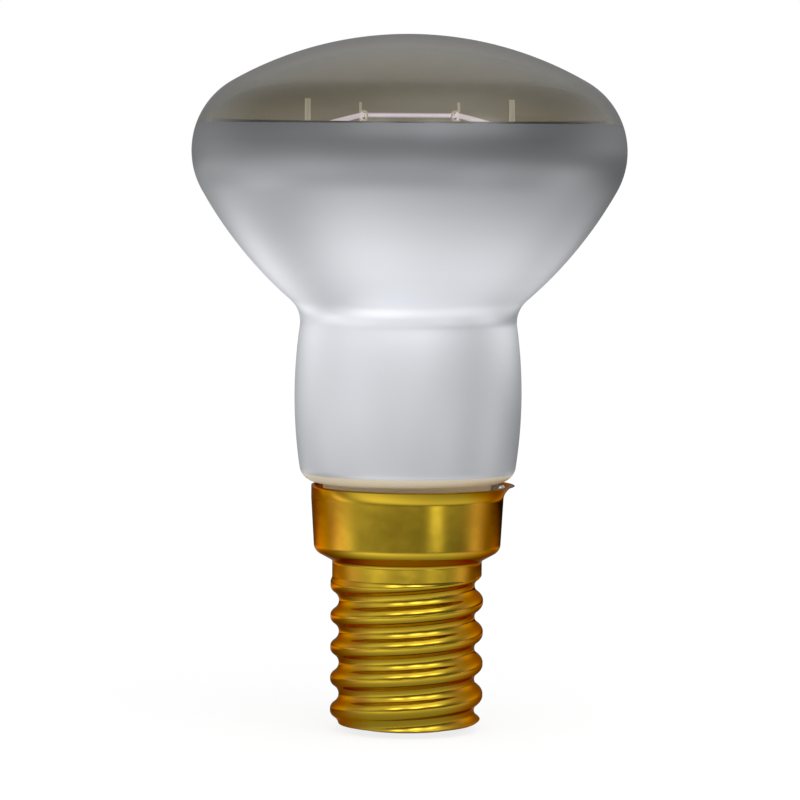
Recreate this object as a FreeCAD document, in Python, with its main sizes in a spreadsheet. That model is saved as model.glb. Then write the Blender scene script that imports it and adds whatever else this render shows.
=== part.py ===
import FreeCAD, Part
import math
import os
import Sketcher

V = FreeCAD.Vector
Z_AXIS = V(0, 0, 1)
ORIGIN = -1
H_AXIS = -1
V_AXIS = -2
START = 1
END = 2
CENTRE = 3

# Driving sizes in millimetres, and angles in degrees. A height is taken from the tip of the
# centre contact, a drop from the crown, a fall from the waist, a sink from the cap's rim and
# a lift from the seal, which stands clear above the cap's shoulder.
SIZES = {
    # blown glass bulb, outside
    "bulb_height": 62.65,
    "bulb_radius": 19.5,
    "dome_radius": 32.0,
    "shoulder_radius": 7.2,
    "flank_radius": 37.0,
    "waist_radius": 2.6,
    "waist_drop": 25.75,
    "neck_radius": 10.2,
    "neck_fall": 6.6,
    "ledge_width": 0.22,
    "glass_wall": 1.1,
    "corner_inside": 0.3,
    "spigot_radius": 7.6,
    "spigot_fillet": 0.4,
    "seal_clear": 1.25,
    # mirror film inside the bulb
    "film_depth": 0.12,
    "film_drop": 7.95,
    "film_clear": 0.85,
    # cap shell, rolled from thin brass
    "shell_wall": 0.3,
    "shell_bottom": 0.6,
    "shell_corner": 1.1,
    "shell_mouth": 5.0,
    "thread_crest": 6.9,
    "thread_root": 6.12,
    "thread_pitch": 2.822,
    "thread_start": 13.88,
    "fade_offset": 3.0,
    "fade_angle": 50.0,
    "crest_relief": 0.02,
    "crest_gap": 0.1,
    "band_radius": 6.74,
    "band_step": 13.55,
    "band_taper": 0.35,
    "shoulder_height": 15.45,
    "shoulder_rise": 0.9,
    "shoulder_fillet": 0.35,
    "collar_fillet": 0.95,
    "collar_foot": 8.38,
    "collar_radius": 8.66,
    "lip_sink": 1.25,
    "rim_height": 22.35,
    "lip_radius": 9.15,
    "lip_offset": 0.5,
    "lip_turn": -10.0,
    "ledge_gap": 0.2,
    # black glass insulator and centre contact
    "insulator_top": 4.6,
    "insulator_drop": 0.35,
    "insulator_edge": 0.4,
    "insulator_bore": 0.6,
    "insulator_funnel": 4.2,
    "insulator_floor": 1.0,
    "eyelet_radius": 2.45,
    "eyelet_drop": 0.25,
    "eyelet_thick": 0.3,
    "eyelet_edge": 0.1,
    "solder_radius": 1.5,
    "solder_flat": 1.0,
    # cement between glass and collar
    "cement_lift": 0.6,
    "cement_sink": 0.75,
    # glass stem
    "flare_height": 3.6,
    "flare_curve": 2.6,
    "flare_rim": 0.9,
    "stem_radius": 3.4,
    "stem_wall": 0.8,
    "press_lift": 11.4,
    "press_height": 5.5,
    "press_width": 7.2,
    "press_thick": 2.4,
    "press_edge": 0.9,
    "exhaust_radius": 1.3,
    "exhaust_bore": 0.7,
    "exhaust_tip": 9.6,
    "tip_flat": 0.1,
    "tip_thick": 0.9,
    "blow_hole": 0.5,
    "blow_height": 2.0,
    "rod_radius": 0.9,
    "button_drop": 17.15,
    "button_radius": 1.5,
    "button_thick": 1.8,
    "button_edge": 0.5,
    "press_turn": -8.0,
    # filament, held by its two ends and two bends
    "filament_radius": 0.3,
    "end_aside": 8.6,
    "end_forward": 2.2,
    "end_drop": 8.35,
    "bend_aside": 4.2,
    "bend_back": 6.2,
    "bend_drop": 6.65,
    "filament_bend": 0.6,
    "filament_tail": 0.7,
    # wires
    "lead_spacing": 2.2,
    "lead_radius": 0.25,
    "seal_radius": 0.2,
    "outer_radius": 0.15,
    "weld_depth": 0.9,
    "lead_rise": 3.0,
    "lead_drop": 9.0,
    "lead_tip": 3.2,
    "wire_bend": 0.9,
    "hook_wire": 0.2,
    "support_radius": 0.12,
    "support_grip": 0.8,
    "support_reach": 2.2,
    "support_drop": 4.0,
    "support_tip": 1.8,
    "support_bend": 0.5,
    "loop_play": 0.15,
    "lead_clear": 1.2,
    "solder_hold": 0.1,
    "side_drop": 0.6,
    "side_bend": 0.4,
    "side_sink": 0.4,
    "wire_play": 0.05,
    "bead_radius": 0.65,
    "bead_aside": 0.4,
}

doc = FreeCAD.newDocument("reflector_bulb")
sheet = doc.addObject("Spreadsheet::Sheet", "Sizes")
for row, (alias, value) in enumerate(SIZES.items(), 1):
    sheet.set(f"A{row}", alias)
    sheet.set(f"B{row}", str(value))
    sheet.setAlias(f"B{row}", alias)
doc.recompute()


class Term:
    """A size that carries its number and the sheet formula that gives it."""

    def __init__(self, value, formula):
        self.value = value
        self.formula = formula

    def __add__(self, other):
        other = term(other)
        return Term(self.value + other.value, f"({self.formula} + {other.formula})")

    def __sub__(self, other):
        other = term(other)
        return Term(self.value - other.value, f"({self.formula} - {other.formula})")

    def __mul__(self, other):
        other = term(other)
        return Term(self.value * other.value, f"({self.formula} * {other.formula})")

    def __truediv__(self, other):
        other = term(other)
        return Term(self.value / other.value, f"({self.formula} / {other.formula})")


def term(number):
    """Give a plain number the form of a Term."""
    if isinstance(number, Term):
        return number
    return Term(float(number), repr(float(number)))


class Sizes:
    """Every size of the sheet as a Term, by its name."""

    def __getattr__(self, name):
        return Term(SIZES[name], f"Sizes.{name}")


size = Sizes()
ZERO = term(0)


def cosine(angle):
    return Term(math.cos(math.radians(angle.value)), f"cos({angle.formula})")


def sine(angle):
    return Term(math.sin(math.radians(angle.value)), f"sin({angle.formula})")


def root(number):
    return Term(math.sqrt(number.value), f"sqrt({number.formula})")


def origin_plane(body, role):
    """Find one of the body's own origin planes by its role."""
    return [part for part in body.Origin.OriginFeatures if part.Role == role][0]


def new_body(name):
    body = doc.addObject("PartDesign::Body", name)
    body.Label = name
    return body


def new_sketch(body, name, role="XZ_Plane", lift=None):
    """Lay a sketch on an origin plane, lifted along its normal where asked."""
    sketch = body.newObject("Sketcher::SketchObject", name)
    sketch.AttachmentSupport = [(origin_plane(body, role), "")]
    sketch.MapMode = "FlatFace"
    if lift is not None:
        sketch.AttachmentOffset = FreeCAD.Placement(V(0, 0, lift.value), FreeCAD.Rotation())
        sketch.setExpression("AttachmentOffset.Base.z", lift.formula)
    return sketch


def hold(sketch, kind, *target):
    """Add a constraint whose last entry is a Term, and bind it to the sheet."""
    amount = target[-1]
    index = sketch.addConstraint(Sketcher.Constraint(kind, *target[:-1], amount.value))
    sketch.setExpression(f"Constraints[{index}]", amount.formula)


def tie(sketch, kind, *target):
    """Add a constraint without a size."""
    sketch.addConstraint(Sketcher.Constraint(kind, *target))


def hold_x(sketch, item, end, amount):
    """Set the distance of a point from the upright axis."""
    if amount.value == 0:
        tie(sketch, "PointOnObject", item, end, V_AXIS)
    else:
        hold(sketch, "DistanceX", ORIGIN, START, item, end, amount)


def hold_y(sketch, item, end, amount):
    """Set the height of a point."""
    if amount.value == 0:
        tie(sketch, "PointOnObject", item, end, H_AXIS)
    else:
        hold(sketch, "DistanceY", ORIGIN, START, item, end, amount)


def line(sketch, first, last):
    return sketch.addGeometry(Part.LineSegment(V(*first, 0), V(*last, 0)), False)


def arc(sketch, centre, radius, first, last):
    """Draw an arc anticlockwise between two angles in radians."""
    whole = Part.Circle(V(*centre, 0), Z_AXIS, radius)
    return sketch.addGeometry(Part.ArcOfCircle(whole, first, last), False)


def route(sketch, corners, closed):
    """Draw straight runs through corners, rounded where a corner has a third Term."""
    spots = [(corner[0].value, corner[1].value) for corner in corners]
    count = len(corners)
    marks = []
    for corner, spot in zip(corners, spots):
        mark = sketch.addGeometry(Part.Point(V(*spot, 0)), True)
        hold_x(sketch, mark, START, corner[0])
        hold_y(sketch, mark, START, corner[1])
        marks.append(mark)
    before = {}
    after = {}
    rounds = {}
    for index in range(count):
        radius = corners[index][2].value if len(corners[index]) > 2 else 0
        here = V(*spots[index], 0)
        before[index] = after[index] = here
        if radius:
            back = (V(*spots[index - 1], 0) - here).normalize()
            onward = (V(*spots[(index + 1) % count], 0) - here).normalize()
            reach = radius / math.tan(back.getAngle(onward) / 2)
            before[index] = here + back * reach
            after[index] = here + onward * reach
            middle = here + (back + onward).normalize() * math.hypot(reach, radius)
            rounds[index] = middle
    runs = count if closed else count - 1
    edges = []
    for index in range(runs):
        onward = (index + 1) % count
        first = after[index]
        last = before[onward]
        edge = line(sketch, (first.x, first.y), (last.x, last.y))
        edges.append(edge)
        for mark, end in ((index, START), (onward, END)):
            if mark in rounds:
                tie(sketch, "PointOnObject", marks[mark], START, edge)
            else:
                tie(sketch, "Coincident", marks[mark], START, edge, end)
    for index, middle in rounds.items():
        first = before[index] - middle
        last = after[index] - middle
        turn = first.x * last.y - first.y * last.x
        start, finish = (first, last) if turn > 0 else (last, first)
        bend = arc(sketch, (middle.x, middle.y), corners[index][2].value,
                   math.atan2(start.y, start.x), math.atan2(finish.y, finish.x))
        hold(sketch, "Radius", bend, corners[index][2])
        near, far = (START, END) if turn > 0 else (END, START)
        tie(sketch, "Tangent", edges[index - 1], END, bend, near)
        tie(sketch, "Tangent", bend, far, edges[index], START)
    return edges


def turned(body, name, corners):
    """Turn a closed outline round the upright axis."""
    sketch = new_sketch(body, name + "_outline")
    route(sketch, corners, True)
    return turn_sketch(body, name, sketch)


def turn_sketch(body, name, sketch):
    feature = body.newObject("PartDesign::Revolution", name)
    feature.Profile = sketch
    feature.ReferenceAxis = (sketch, ["V_Axis"])
    feature.Angle = 360
    sketch.Visibility = False
    return feature


def padded(body, name, sketch, height):
    feature = body.newObject("PartDesign::Pad", name)
    feature.Profile = sketch
    feature.Length = height.value
    feature.setExpression("Length", height.formula)
    return feature


def circle(sketch, centre_x, centre_y, radius):
    """Draw a full circle held by its centre and radius."""
    spot = V(centre_x.value, centre_y.value, 0)
    item = sketch.addGeometry(Part.Circle(spot, Z_AXIS, radius.value), False)
    hold_x(sketch, item, CENTRE, centre_x)
    hold_y(sketch, item, CENTRE, centre_y)
    hold(sketch, "Radius", item, radius)
    return item


def meet(first, first_radius, second, second_radius, left):
    """Find where two circles cross, on the left or the right of their centre line."""
    across = V(second[0] - first[0], second[1] - first[1], 0)
    gap = across.Length
    along = (first_radius ** 2 - second_radius ** 2 + gap ** 2) / (2 * gap)
    aside = math.sqrt(first_radius ** 2 - along ** 2)
    across.normalize()
    if not left:
        aside = -aside
    return (first[0] + across.x * along - across.y * aside,
            first[1] + across.y * along + across.x * aside)


def heading(start, finish):
    return math.atan2(finish[1] - start[1], finish[0] - start[0])


# heights that follow the crown, the waist, the cap's rim, its shoulder or the seal
ledge_height = size.rim_height + size.ledge_gap
lip_height = size.rim_height - size.lip_sink
waist_height = size.bulb_height - size.waist_drop
neck_height = waist_height - size.neck_fall
seal_height = size.shoulder_height + size.shoulder_rise + size.seal_clear
press_bottom = seal_height + size.press_lift
press_top = press_bottom + size.press_height
rod_height = size.bulb_height - size.button_drop
end_height = size.bulb_height - size.end_drop
bend_height = size.bulb_height - size.bend_drop
side_tip = size.rim_height - size.side_sink

# the neck swells from its lower corner to its widest ring, and its curve follows from both
corner_radius = size.corner_inside + size.glass_wall + size.film_depth
corner_height = ledge_height + corner_radius
corner_step = size.neck_radius - size.spigot_radius - size.spigot_fillet - size.ledge_width
corner_fall = neck_height - corner_height
corner_reach = corner_step * corner_step + corner_fall * corner_fall
neck_curve = (corner_reach - corner_radius * corner_radius) / ((corner_step - corner_radius) * 2)


def bulb_chain(sketch, depth):
    """Draw the bulb's outline, sunk by a depth into the glass, from crown to seal.

    Each arc keeps its centre at every depth, so that the layers stay parallel.
    """
    dome = size.dome_radius - depth
    shoulder = size.shoulder_radius - depth
    flank = size.flank_radius - depth
    waist = size.waist_radius + depth
    neck = neck_curve - depth
    corner = corner_radius - depth
    fillet = size.spigot_fillet + depth
    crown = size.bulb_height - depth
    shoulder_x = size.bulb_radius - size.shoulder_radius
    neck_x = size.neck_radius - neck_curve

    dome_at = (0, size.bulb_height.value - size.dome_radius.value)
    rise = math.sqrt((dome.value - shoulder.value) ** 2 - shoulder_x.value ** 2)
    shoulder_at = (shoulder_x.value, dome_at[1] + rise)
    neck_at = (neck_x.value, neck_height.value)
    rise = waist_height.value - neck_at[1]
    waist_at = (neck_at[0] + math.sqrt((neck.value + waist.value) ** 2 - rise ** 2),
                waist_height.value)
    flank_at = meet(shoulder_at, flank.value - shoulder.value,
                    waist_at, flank.value + waist.value, False)
    corner_at = (size.neck_radius.value - corner_step.value, corner_height.value)
    fillet_at = (size.spigot_radius.value + size.spigot_fillet.value,
                 ledge_height.value - size.spigot_fillet.value)

    high = heading(dome_at, shoulder_at)
    wide = heading(flank_at, shoulder_at)
    low = heading(flank_at, waist_at)
    slim = heading(neck_at, waist_at)
    foot = heading(neck_at, corner_at)
    quarter = math.pi / 2

    dome_arc = arc(sketch, dome_at, dome.value, high, quarter)
    shoulder_arc = arc(sketch, shoulder_at, shoulder.value, wide, high)
    flank_arc = arc(sketch, flank_at, flank.value, low, wide)
    waist_arc = arc(sketch, waist_at, waist.value, low + math.pi, slim + math.pi)
    neck_arc = arc(sketch, neck_at, neck.value, foot, slim)
    corner_arc = arc(sketch, corner_at, corner.value, -quarter, foot)
    shelf = corner_at[1] - corner.value
    ledge = line(sketch, (corner_at[0], shelf), (fillet_at[0], shelf))
    fillet_arc = arc(sketch, fillet_at, fillet.value, quarter, math.pi)
    wall_x = fillet_at[0] - fillet.value
    spigot = line(sketch, (wall_x, fillet_at[1]), (wall_x, seal_height.value))

    hold(sketch, "Radius", dome_arc, dome)
    tie(sketch, "PointOnObject", dome_arc, CENTRE, V_AXIS)
    tie(sketch, "PointOnObject", dome_arc, END, V_AXIS)
    hold_y(sketch, dome_arc, END, crown)
    hold(sketch, "Radius", shoulder_arc, shoulder)
    hold_x(sketch, shoulder_arc, CENTRE, shoulder_x)
    tie(sketch, "Tangent", dome_arc, START, shoulder_arc, END)
    hold(sketch, "Radius", flank_arc, flank)
    tie(sketch, "Tangent", shoulder_arc, START, flank_arc, END)
    hold(sketch, "Radius", waist_arc, waist)
    hold_y(sketch, waist_arc, CENTRE, waist_height)
    tie(sketch, "Tangent", flank_arc, START, waist_arc, START)
    hold(sketch, "Radius", neck_arc, neck)
    hold_x(sketch, neck_arc, CENTRE, neck_x)
    hold_y(sketch, neck_arc, CENTRE, neck_height)
    tie(sketch, "Tangent", waist_arc, END, neck_arc, END)
    hold(sketch, "Radius", corner_arc, corner)
    tie(sketch, "Tangent", neck_arc, START, corner_arc, END)
    tie(sketch, "Tangent", corner_arc, START, ledge, START)
    tie(sketch, "Horizontal", ledge)
    hold_y(sketch, ledge, END, ledge_height + depth)
    hold(sketch, "Radius", fillet_arc, fillet)
    tie(sketch, "Tangent", ledge, END, fillet_arc, START)
    tie(sketch, "Tangent", fillet_arc, END, spigot, START)
    tie(sketch, "Vertical", spigot)
    hold_x(sketch, spigot, END, size.spigot_radius - depth)
    hold_y(sketch, spigot, END, seal_height)
    return dome_arc, spigot


def bulb_layer(name, outer, inner):
    """Turn the layer of the bulb that lies between two depths in the glass."""
    body = new_body(name)
    sketch = new_sketch(body, name + "_outline")
    outside_dome, outside_spigot = bulb_chain(sketch, outer)
    inside_dome, inside_spigot = bulb_chain(sketch, inner)
    crown = size.bulb_height.value
    axis_line = line(sketch, (0, crown - outer.value), (0, crown - inner.value))
    tie(sketch, "Coincident", axis_line, START, outside_dome, END)
    tie(sketch, "Coincident", axis_line, END, inside_dome, END)
    wall_x = size.spigot_radius.value
    seal = seal_height.value
    seal_line = line(sketch, (wall_x - outer.value, seal), (wall_x - inner.value, seal))
    tie(sketch, "Coincident", seal_line, START, outside_spigot, END)
    tie(sketch, "Coincident", seal_line, END, inside_spigot, END)
    turn_sketch(body, name + "_turn", sketch)
    return body


def boolean(kind, name, base, tool):
    """Combine two objects with a Part boolean such as Part::Cut."""
    result = doc.addObject(kind, name)
    result.Label = name
    result.Base = base
    result.Tool = tool
    return result


envelope = bulb_layer("glass_envelope", ZERO, size.glass_wall)

film_layer = bulb_layer("film_layer", size.glass_wall, size.glass_wall + size.film_depth)
film_slab = doc.addObject("Part::Cylinder", "film_slab")
film_slab.setExpression("Radius", size.bulb_radius.formula)
film_bottom = ledge_height + size.film_clear
film_slab.setExpression("Height", (size.bulb_height - size.film_drop - film_bottom).formula)
film_slab.setExpression("Placement.Base.z", film_bottom.formula)
mirror_film = boolean("Part::Common", "mirror_coating", film_layer, film_slab)


depth_of_thread = size.thread_crest - size.thread_root
quarter_pitch = size.thread_pitch / 4
knuckle = (depth_of_thread * depth_of_thread / 4 + quarter_pitch * quarter_pitch) / depth_of_thread


def groove_outline(sketch, depth):
    """Draw the knuckle groove between two crests, sunk by a depth into the shell."""
    crest = knuckle - depth
    hollow = knuckle + depth
    crest_x = size.thread_crest - knuckle
    hollow_x = size.thread_root + knuckle
    half_pitch = size.thread_pitch / 2
    mouth = half_pitch - size.crest_gap / 2
    low = size.thread_start - half_pitch
    high = size.thread_start + half_pitch
    outside = size.thread_crest + size.shell_wall * 2
    lean = math.atan2(half_pitch.value, hollow_x.value - crest_x.value)
    lip = math.asin(size.crest_gap.value / 2 / crest.value)

    low_arc = arc(sketch, (crest_x.value, low.value), crest.value, lip, lean)
    hollow_arc = arc(sketch, (hollow_x.value, size.thread_start.value), hollow.value,
                     math.pi - lean, math.pi + lean)
    high_arc = arc(sketch, (crest_x.value, high.value), crest.value, -lean, -lip)
    for item, height in ((low_arc, low), (high_arc, high)):
        hold(sketch, "Radius", item, crest)
        hold_x(sketch, item, CENTRE, crest_x)
        hold_y(sketch, item, CENTRE, height)
    hold(sketch, "Radius", hollow_arc, hollow)
    hold_y(sketch, low_arc, START, size.thread_start - mouth)
    hold_y(sketch, high_arc, END, size.thread_start + mouth)
    tie(sketch, "Tangent", low_arc, END, hollow_arc, END)
    tie(sketch, "Tangent", hollow_arc, START, high_arc, START)

    edge = crest_x.value + crest.value * math.cos(lip)
    top = size.thread_start.value + mouth.value
    bottom = size.thread_start.value - mouth.value
    upper = line(sketch, (edge, top), (outside.value, top))
    side = line(sketch, (outside.value, top), (outside.value, bottom))
    lower = line(sketch, (outside.value, bottom), (edge, bottom))
    tie(sketch, "Coincident", high_arc, END, upper, START)
    tie(sketch, "Coincident", upper, END, side, START)
    tie(sketch, "Coincident", side, END, lower, START)
    tie(sketch, "Coincident", lower, END, low_arc, START)
    tie(sketch, "Horizontal", upper)
    tie(sketch, "Vertical", side)
    tie(sketch, "Horizontal", lower)
    hold_x(sketch, side, START, outside)


def rolled_thread(body, depth):
    """Cut the round thread, right-handed, from its start at the back down past the edge."""
    fade = new_sketch(body, body.Name + "_fade", "YZ_Plane")
    groove_outline(fade, depth)
    foot = V(-size.fade_offset.value, 0, 0)
    pivot = Part.LineSegment(foot, foot + V(0, size.thread_pitch.value, 0))
    axis = fade.addGeometry(pivot, True)
    tie(fade, "Vertical", axis)
    hold_x(fade, axis, START, ZERO - size.fade_offset)
    tie(fade, "PointOnObject", axis, START, H_AXIS)
    hold_y(fade, axis, END, size.thread_pitch)
    doc.recompute()
    run_out = body.newObject("PartDesign::Groove", body.Name + "_run_out")
    run_out.Profile = fade
    run_out.ReferenceAxis = (fade, ["Axis0"])
    run_out.Angle = size.fade_angle.value
    run_out.setExpression("Angle", size.fade_angle.formula)
    run_out.Reversed = False
    doc.recompute()

    sketch = new_sketch(body, body.Name + "_groove", "YZ_Plane")
    groove_outline(sketch, depth)
    doc.recompute()
    thread = body.newObject("PartDesign::SubtractiveHelix", body.Name + "_thread")
    thread.Profile = sketch
    thread.ReferenceAxis = (sketch, ["V_Axis"])
    thread.Mode = 0
    thread.Pitch = size.thread_pitch.value
    thread.Height = size.thread_start.value + size.thread_pitch.value
    thread.setExpression("Pitch", size.thread_pitch.formula)
    thread.setExpression("Height", (size.thread_start + size.thread_pitch / 2).formula)
    thread.Angle = 0
    thread.LeftHanded = False
    thread.Reversed = True
    doc.recompute()


def lip_sections(body, depth):
    """Lay three rounds that drift aside as they rise, for the pushed-out lip."""
    half = (lip_height + size.rim_height) / 2
    sections = []
    for name, height, share in (("low", lip_height, 0), ("mid", half, 0.3),
                                ("top", size.rim_height, 1)):
        sketch = new_sketch(body, f"{body.Name}_lip_{name}", "XY_Plane", height)
        radius = size.collar_radius + (size.lip_radius - size.collar_radius) * share - depth
        aside = size.lip_offset * share
        circle(sketch, aside * cosine(size.lip_turn), aside * sine(size.lip_turn), radius)
        sections.append(sketch)
    return sections


def cap_form(name, depth):
    """Build the cap's solid form, sunk by a depth from its outer skin."""
    body = new_body(name)
    crest = size.thread_crest - size.crest_relief - depth
    bottom = size.shell_bottom + depth
    # the shoulder and the collar foot keep their wall measured square to the slope
    slope = root(size.shoulder_rise * size.shoulder_rise
                 + (size.collar_foot - size.band_radius) * (size.collar_foot - size.band_radius))
    lean = (slope - size.shoulder_rise) / (size.collar_foot - size.band_radius) * depth
    outer = [
        (ZERO, bottom),
        (crest, bottom, size.shell_corner - depth),
        (crest, size.band_step - lean),
        (size.band_radius - depth, size.band_step + size.band_taper - lean),
        (size.band_radius - depth, size.shoulder_height + lean, size.shoulder_fillet + depth),
        (size.collar_foot - depth, size.shoulder_height + size.shoulder_rise + lean,
         size.collar_fillet - depth),
        (size.collar_radius - depth, lip_height),
        (size.spigot_radius - depth, lip_height),
        (size.spigot_radius - depth, size.rim_height),
        (ZERO, size.rim_height),
    ]
    turned(body, name + "_stock", outer)
    doc.recompute()
    rolled_thread(body, depth)
    low, mid, top = lip_sections(body, depth)
    lip = body.newObject("PartDesign::AdditiveLoft", name + "_lip")
    lip.Profile = low
    lip.Sections = [mid, top]
    lip.Ruled = False
    doc.recompute()
    return body


def pipe(name, corners, radius, place):
    """Bend a round wire along corners in its own upright plane, then set it in place."""
    body = new_body(name)
    path = new_sketch(body, name + "_path")
    route(path, corners, False)
    section = new_sketch(body, name + "_section", "XY_Plane")
    circle(section, ZERO, ZERO, radius)
    sweep = body.newObject("PartDesign::AdditivePipe", name + "_sweep")
    sweep.Profile = section
    sweep.Spine = path
    body.Placement = place
    return body


def rod(name, radius, height, place):
    """Stand a plain round rod on its foot."""
    item = doc.addObject("Part::Cylinder", name)
    item.Label = name
    item.Placement = place
    item.setExpression("Radius", radius.formula)
    item.setExpression("Height", height.formula)
    return item


def ring(name, radius, wire, place):
    """Close a wire loop round the filament."""
    item = doc.addObject("Part::Torus", name)
    item.Placement = place
    item.setExpression("Radius1", radius.formula)
    item.setExpression("Radius2", wire.formula)
    return item


def fuse_all(name, pieces):
    result = doc.addObject("Part::MultiFuse", name)
    result.Label = name
    result.Shapes = pieces
    return result


def cut_all(name, base, tools):
    """Cut several pieces out of one."""
    if len(tools) == 1:
        return boolean("Part::Cut", name, base, tools[0])
    return boolean("Part::Cut", name, base, fuse_all(name + "_tools", tools))


def spot(radius, turn, height):
    """A place on the press, which is turned about the bulb's axis with all its wires."""
    angle = math.radians(turn + size.press_turn.value)
    return V(radius * math.cos(angle), radius * math.sin(angle), height)


def along(turn):
    """A level direction on the press."""
    return spot(1, turn, 0)


def reach(first, last):
    """The level distance between two places, as a Term."""
    across = last[0] - first[0]
    deep = last[1] - first[1]
    return root(across * across + deep * deep)


def frame_at(base, x_way, z_way):
    """A placement whose own X and Z axes point the given ways."""
    y_way = z_way.cross(x_way)
    return FreeCAD.Placement(base, FreeCAD.Rotation(x_way, y_way, z_way, "ZXY"))


# cap shell: one thin rolled and drawn brass piece, open at the rim and at the bottom mouth
cap_skin = cap_form("cap_skin", ZERO)
cap_core = cap_form("cap_core", size.shell_wall)
mouth_sketch = new_sketch(cap_core, "cap_mouth_outline", "XY_Plane")
circle(mouth_sketch, ZERO, ZERO, size.shell_mouth)
padded(cap_core, "cap_mouth", mouth_sketch, size.shell_bottom + size.shell_wall * 2)
cap_shell = boolean("Part::Cut", "cap_shell", cap_skin, cap_core)

# black glass insulator, cast into the shell's lower end so that it takes the thread's form
eyelet_top = size.eyelet_drop + size.eyelet_thick
insulator_blank = new_body("insulator_blank")
turned(insulator_blank, "insulator_turn", [
    (size.insulator_bore, eyelet_top),
    (size.eyelet_radius, eyelet_top),
    (size.eyelet_radius, size.insulator_drop),
    (size.shell_mouth - size.insulator_edge, size.insulator_drop),
    (size.shell_mouth, size.insulator_drop + size.insulator_edge / 2),
    (size.thread_crest, size.insulator_drop + size.insulator_edge / 2),
    (size.thread_crest, size.insulator_top),
    (size.insulator_funnel, size.insulator_top),
    (size.insulator_bore, eyelet_top + size.insulator_floor),
])
cap_insulator = boolean("Part::Common", "cap_insulator", cap_core, insulator_blank)

# contact plate let into the insulator
contact_eyelet = new_body("contact_eyelet")
turned(contact_eyelet, "eyelet_turn", [
    (size.insulator_bore, size.eyelet_drop),
    (size.eyelet_radius - size.eyelet_edge, size.eyelet_drop),
    (size.eyelet_radius, size.eyelet_drop + size.eyelet_edge),
    (size.eyelet_radius, eyelet_top),
    (size.insulator_bore, eyelet_top),
])

# stem: flared skirt, tube and flattened press, with the blow hole that empties the bulb
seal_inside = size.spigot_radius - size.glass_wall
stem_inside = size.stem_radius - size.stem_wall
flare_top = seal_height + size.flare_height
stem_body = new_body("stem_body")
turned(stem_body, "stem_turn", [
    (ZERO, press_bottom),
    (stem_inside, press_bottom),
    (stem_inside, flare_top - size.stem_wall / 2, size.flare_curve + size.stem_wall),
    (seal_inside - size.flare_rim, seal_height),
    (seal_inside, seal_height),
    (seal_inside, seal_height + size.stem_wall),
    (size.stem_radius, flare_top, size.flare_curve),
    (size.stem_radius, press_bottom + size.stem_wall),
    (ZERO, press_bottom + size.stem_wall),
])
press_sketch = new_sketch(stem_body, "press_outline", "XY_Plane", press_bottom)
press_x = size.press_width / 2
press_y = size.press_thick / 2
route(press_sketch, [
    (press_x, press_y, size.press_edge),
    (ZERO - press_x, press_y, size.press_edge),
    (ZERO - press_x, ZERO - press_y, size.press_edge),
    (press_x, ZERO - press_y, size.press_edge),
], True)
padded(stem_body, "press", press_sketch, press_top - press_bottom)
doc.recompute()
bore_sketch = new_sketch(stem_body, "bore_outline", "XY_Plane", press_bottom)
circle(bore_sketch, ZERO, ZERO, size.exhaust_bore)
bore = stem_body.newObject("PartDesign::Pocket", "bore")
bore.Profile = bore_sketch
bore.Reversed = True
bore.setExpression("Length", size.blow_height.formula)
blow_sketch = new_sketch(stem_body, "blow_outline", "XZ_Plane")
circle(blow_sketch, ZERO, press_bottom + size.blow_height, size.blow_hole)
blow = stem_body.newObject("PartDesign::Pocket", "blow")
blow.Profile = blow_sketch
blow.Midplane = True
blow.setExpression("Length", (size.press_thick * 2).formula)
stem_body.Placement = FreeCAD.Placement(V(0, 0, 0), FreeCAD.Rotation(Z_AXIS, size.press_turn.value))
doc.recompute()

# exhaust tube, melted shut at its lower tip
exhaust_tube = new_body("exhaust_tube")
turned(exhaust_tube, "exhaust_turn", [
    (size.exhaust_bore, press_bottom),
    (size.exhaust_radius, press_bottom),
    (size.exhaust_radius, size.exhaust_tip, size.exhaust_radius - size.tip_flat),
    (ZERO, size.exhaust_tip),
    (ZERO, size.exhaust_tip + size.tip_thick),
    (size.exhaust_bore, size.exhaust_tip + size.tip_thick),
])

# glass rod with the button that grips the support wires
button_body = new_body("button_body")
turned(button_body, "button_turn", [
    (ZERO, press_top),
    (size.rod_radius, press_top),
    (size.rod_radius, rod_height),
    (size.button_radius, rod_height, size.button_edge),
    (size.button_radius, rod_height + size.button_thick, size.button_edge),
    (ZERO, rod_height + size.button_thick),
])

# filament: three straight spans in one sloping plane, open at the front of the mount
aside = size.end_aside - size.bend_aside
back = size.bend_back + size.end_forward
slope = root(back * back
             + (bend_height - end_height) * (bend_height - end_height))
span = root(aside * aside + slope * slope)
middle = size.bend_aside * 2
first_end = V(-size.end_aside.value, -size.end_forward.value, end_height.value)
first_bend = V(-size.bend_aside.value, size.bend_back.value, bend_height.value)
span_way = (first_bend - first_end).normalize()
span_in = (V(1, 0, 0) - span_way * span_way.x).normalize()
far_x = (middle + aside) * slope / span + slope * aside / span
far_z = (span + (middle + aside) * aside / span) - slope * slope / span
filament = pipe("filament", [
    (ZERO, ZERO),
    (ZERO, span + size.filament_tail, size.filament_bend),
    (middle * slope / span, size.filament_tail + span + middle * aside / span, size.filament_bend),
    (far_x + size.filament_tail * slope * aside / span / span * 2,
     far_z + size.filament_tail + size.filament_tail * (aside * aside - slope * slope) / span / span),
], size.filament_radius, frame_at(first_end - span_way * size.filament_tail.value, span_in, span_way))

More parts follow.
